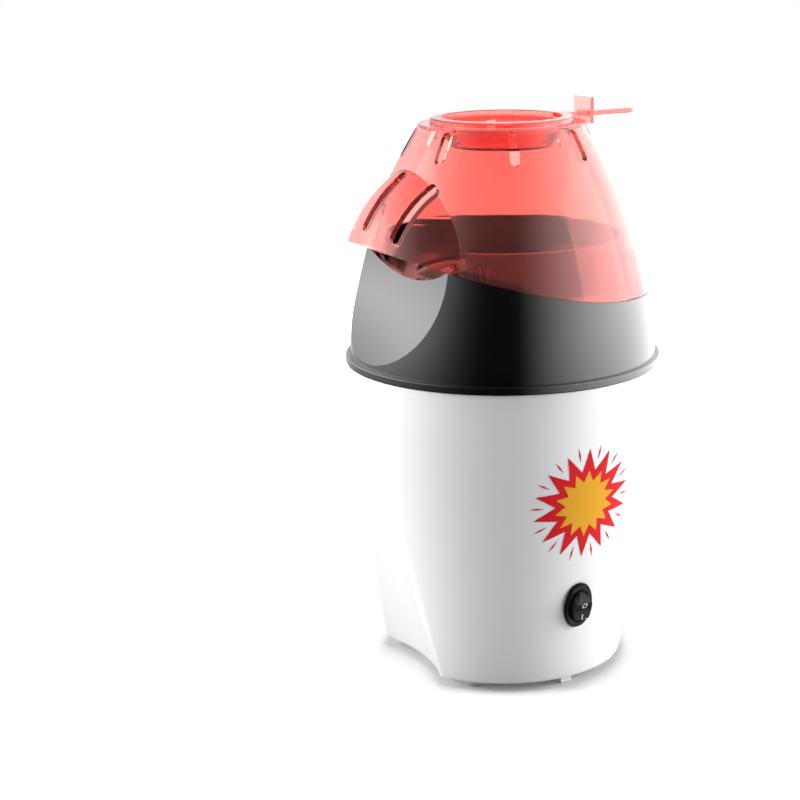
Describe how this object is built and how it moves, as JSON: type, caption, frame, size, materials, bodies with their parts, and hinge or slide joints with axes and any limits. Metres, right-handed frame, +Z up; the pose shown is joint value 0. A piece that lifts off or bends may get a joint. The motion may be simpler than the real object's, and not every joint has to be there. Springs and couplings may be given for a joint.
{
  "type": "hot-air popcorn maker",
  "caption": "Countertop hot-air popcorn maker: tapered body, dark upper housing with a chute, clear lid with a hood over the chute, and a measuring cup as its cap.",
  "frame": {"origin": "on the object's vertical axis, on the table plane that its feet stand on", "axes": "+Z up; the chute and its hood face -Y; the switch is on the +X side"},
  "size_m": [0.17, 0.1702, 0.306],
  "materials": {
    "white_plastic": "high gloss white",
    "black_plastic": "high gloss black",
    "switch_plastic": "satin black",
    "red_clear": "clear red",
    "rubber": "matte grey",
    "silicone": "matte",
    "aluminium": "satin",
    "steel": "zinc plated",
    "mica": "natural",
    "heater_wire": "oxidised",
    "fan_plastic": "satin",
    "motor_plastic": "satin",
    "magnet": "matte",
    "bronze": "satin",
    "copper": "enamelled",
    "board": "satin",
    "diode": "satin"
  },
  "bodies": {
    "base": {"body_shell": "white_plastic", "base_plate": "white_plastic", "rubber_feet": "rubber", "base_screws": "steel", "fan_screws": "steel", "upper_housing": "black_plastic", "housing_screws": "steel", "chamber_gasket": "silicone", "popping_chamber": "aluminium", "clamp_ring": "steel", "clamp_screws": "steel", "heater_housing": "steel", "mica_base": "mica", "mica_cross": "mica", "heating_coil": "heater_wire", "thermostat": "motor_plastic", "thermal_fuse": "steel", "fan_housing": "fan_plastic", "motor_bracket": "steel", "motor_screws": "steel", "motor_can": "steel", "motor_cap": "motor_plastic", "motor_magnets": "magnet", "motor_bushings": "bronze", "rectifier_board": "board", "rectifier_diodes": "diode", "switch_housing": "switch_plastic", "switch_terminals": "bronze", "inlet_gland": "switch_plastic"},
    "fan_rotor": {"impeller": "fan_plastic", "motor_rotor": "copper", "motor_shaft": "steel"},
    "rocker": {"rocker": "switch_plastic"},
    "lid": {"lid": "red_clear"},
    "cup": {"measuring_cup": "red_clear"}
  },
  "joints": [
    {"name": "fan_spin", "type": "hinge", "parent": "base", "child": "fan_rotor", "pos_m": [0, 0, 0.05], "axis": [0, 0, 1], "continuous": true},
    {"name": "switch_rock", "type": "hinge", "parent": "base", "child": "rocker", "pos_m": [0.06989, 0.00428, 0.04799], "axis": [-0.061, 0.9981, 0], "range_deg": [-20, 0]},
    {"name": "lid_lift", "type": "slide", "parent": "base", "child": "lid", "axis": [0, 0, 1], "range_m": [0, 0.06]},
    {"name": "cup_lift", "type": "slide", "parent": "lid", "child": "cup", "axis": [0, 0, 1], "range_m": [0, 0.04]}
  ]
}
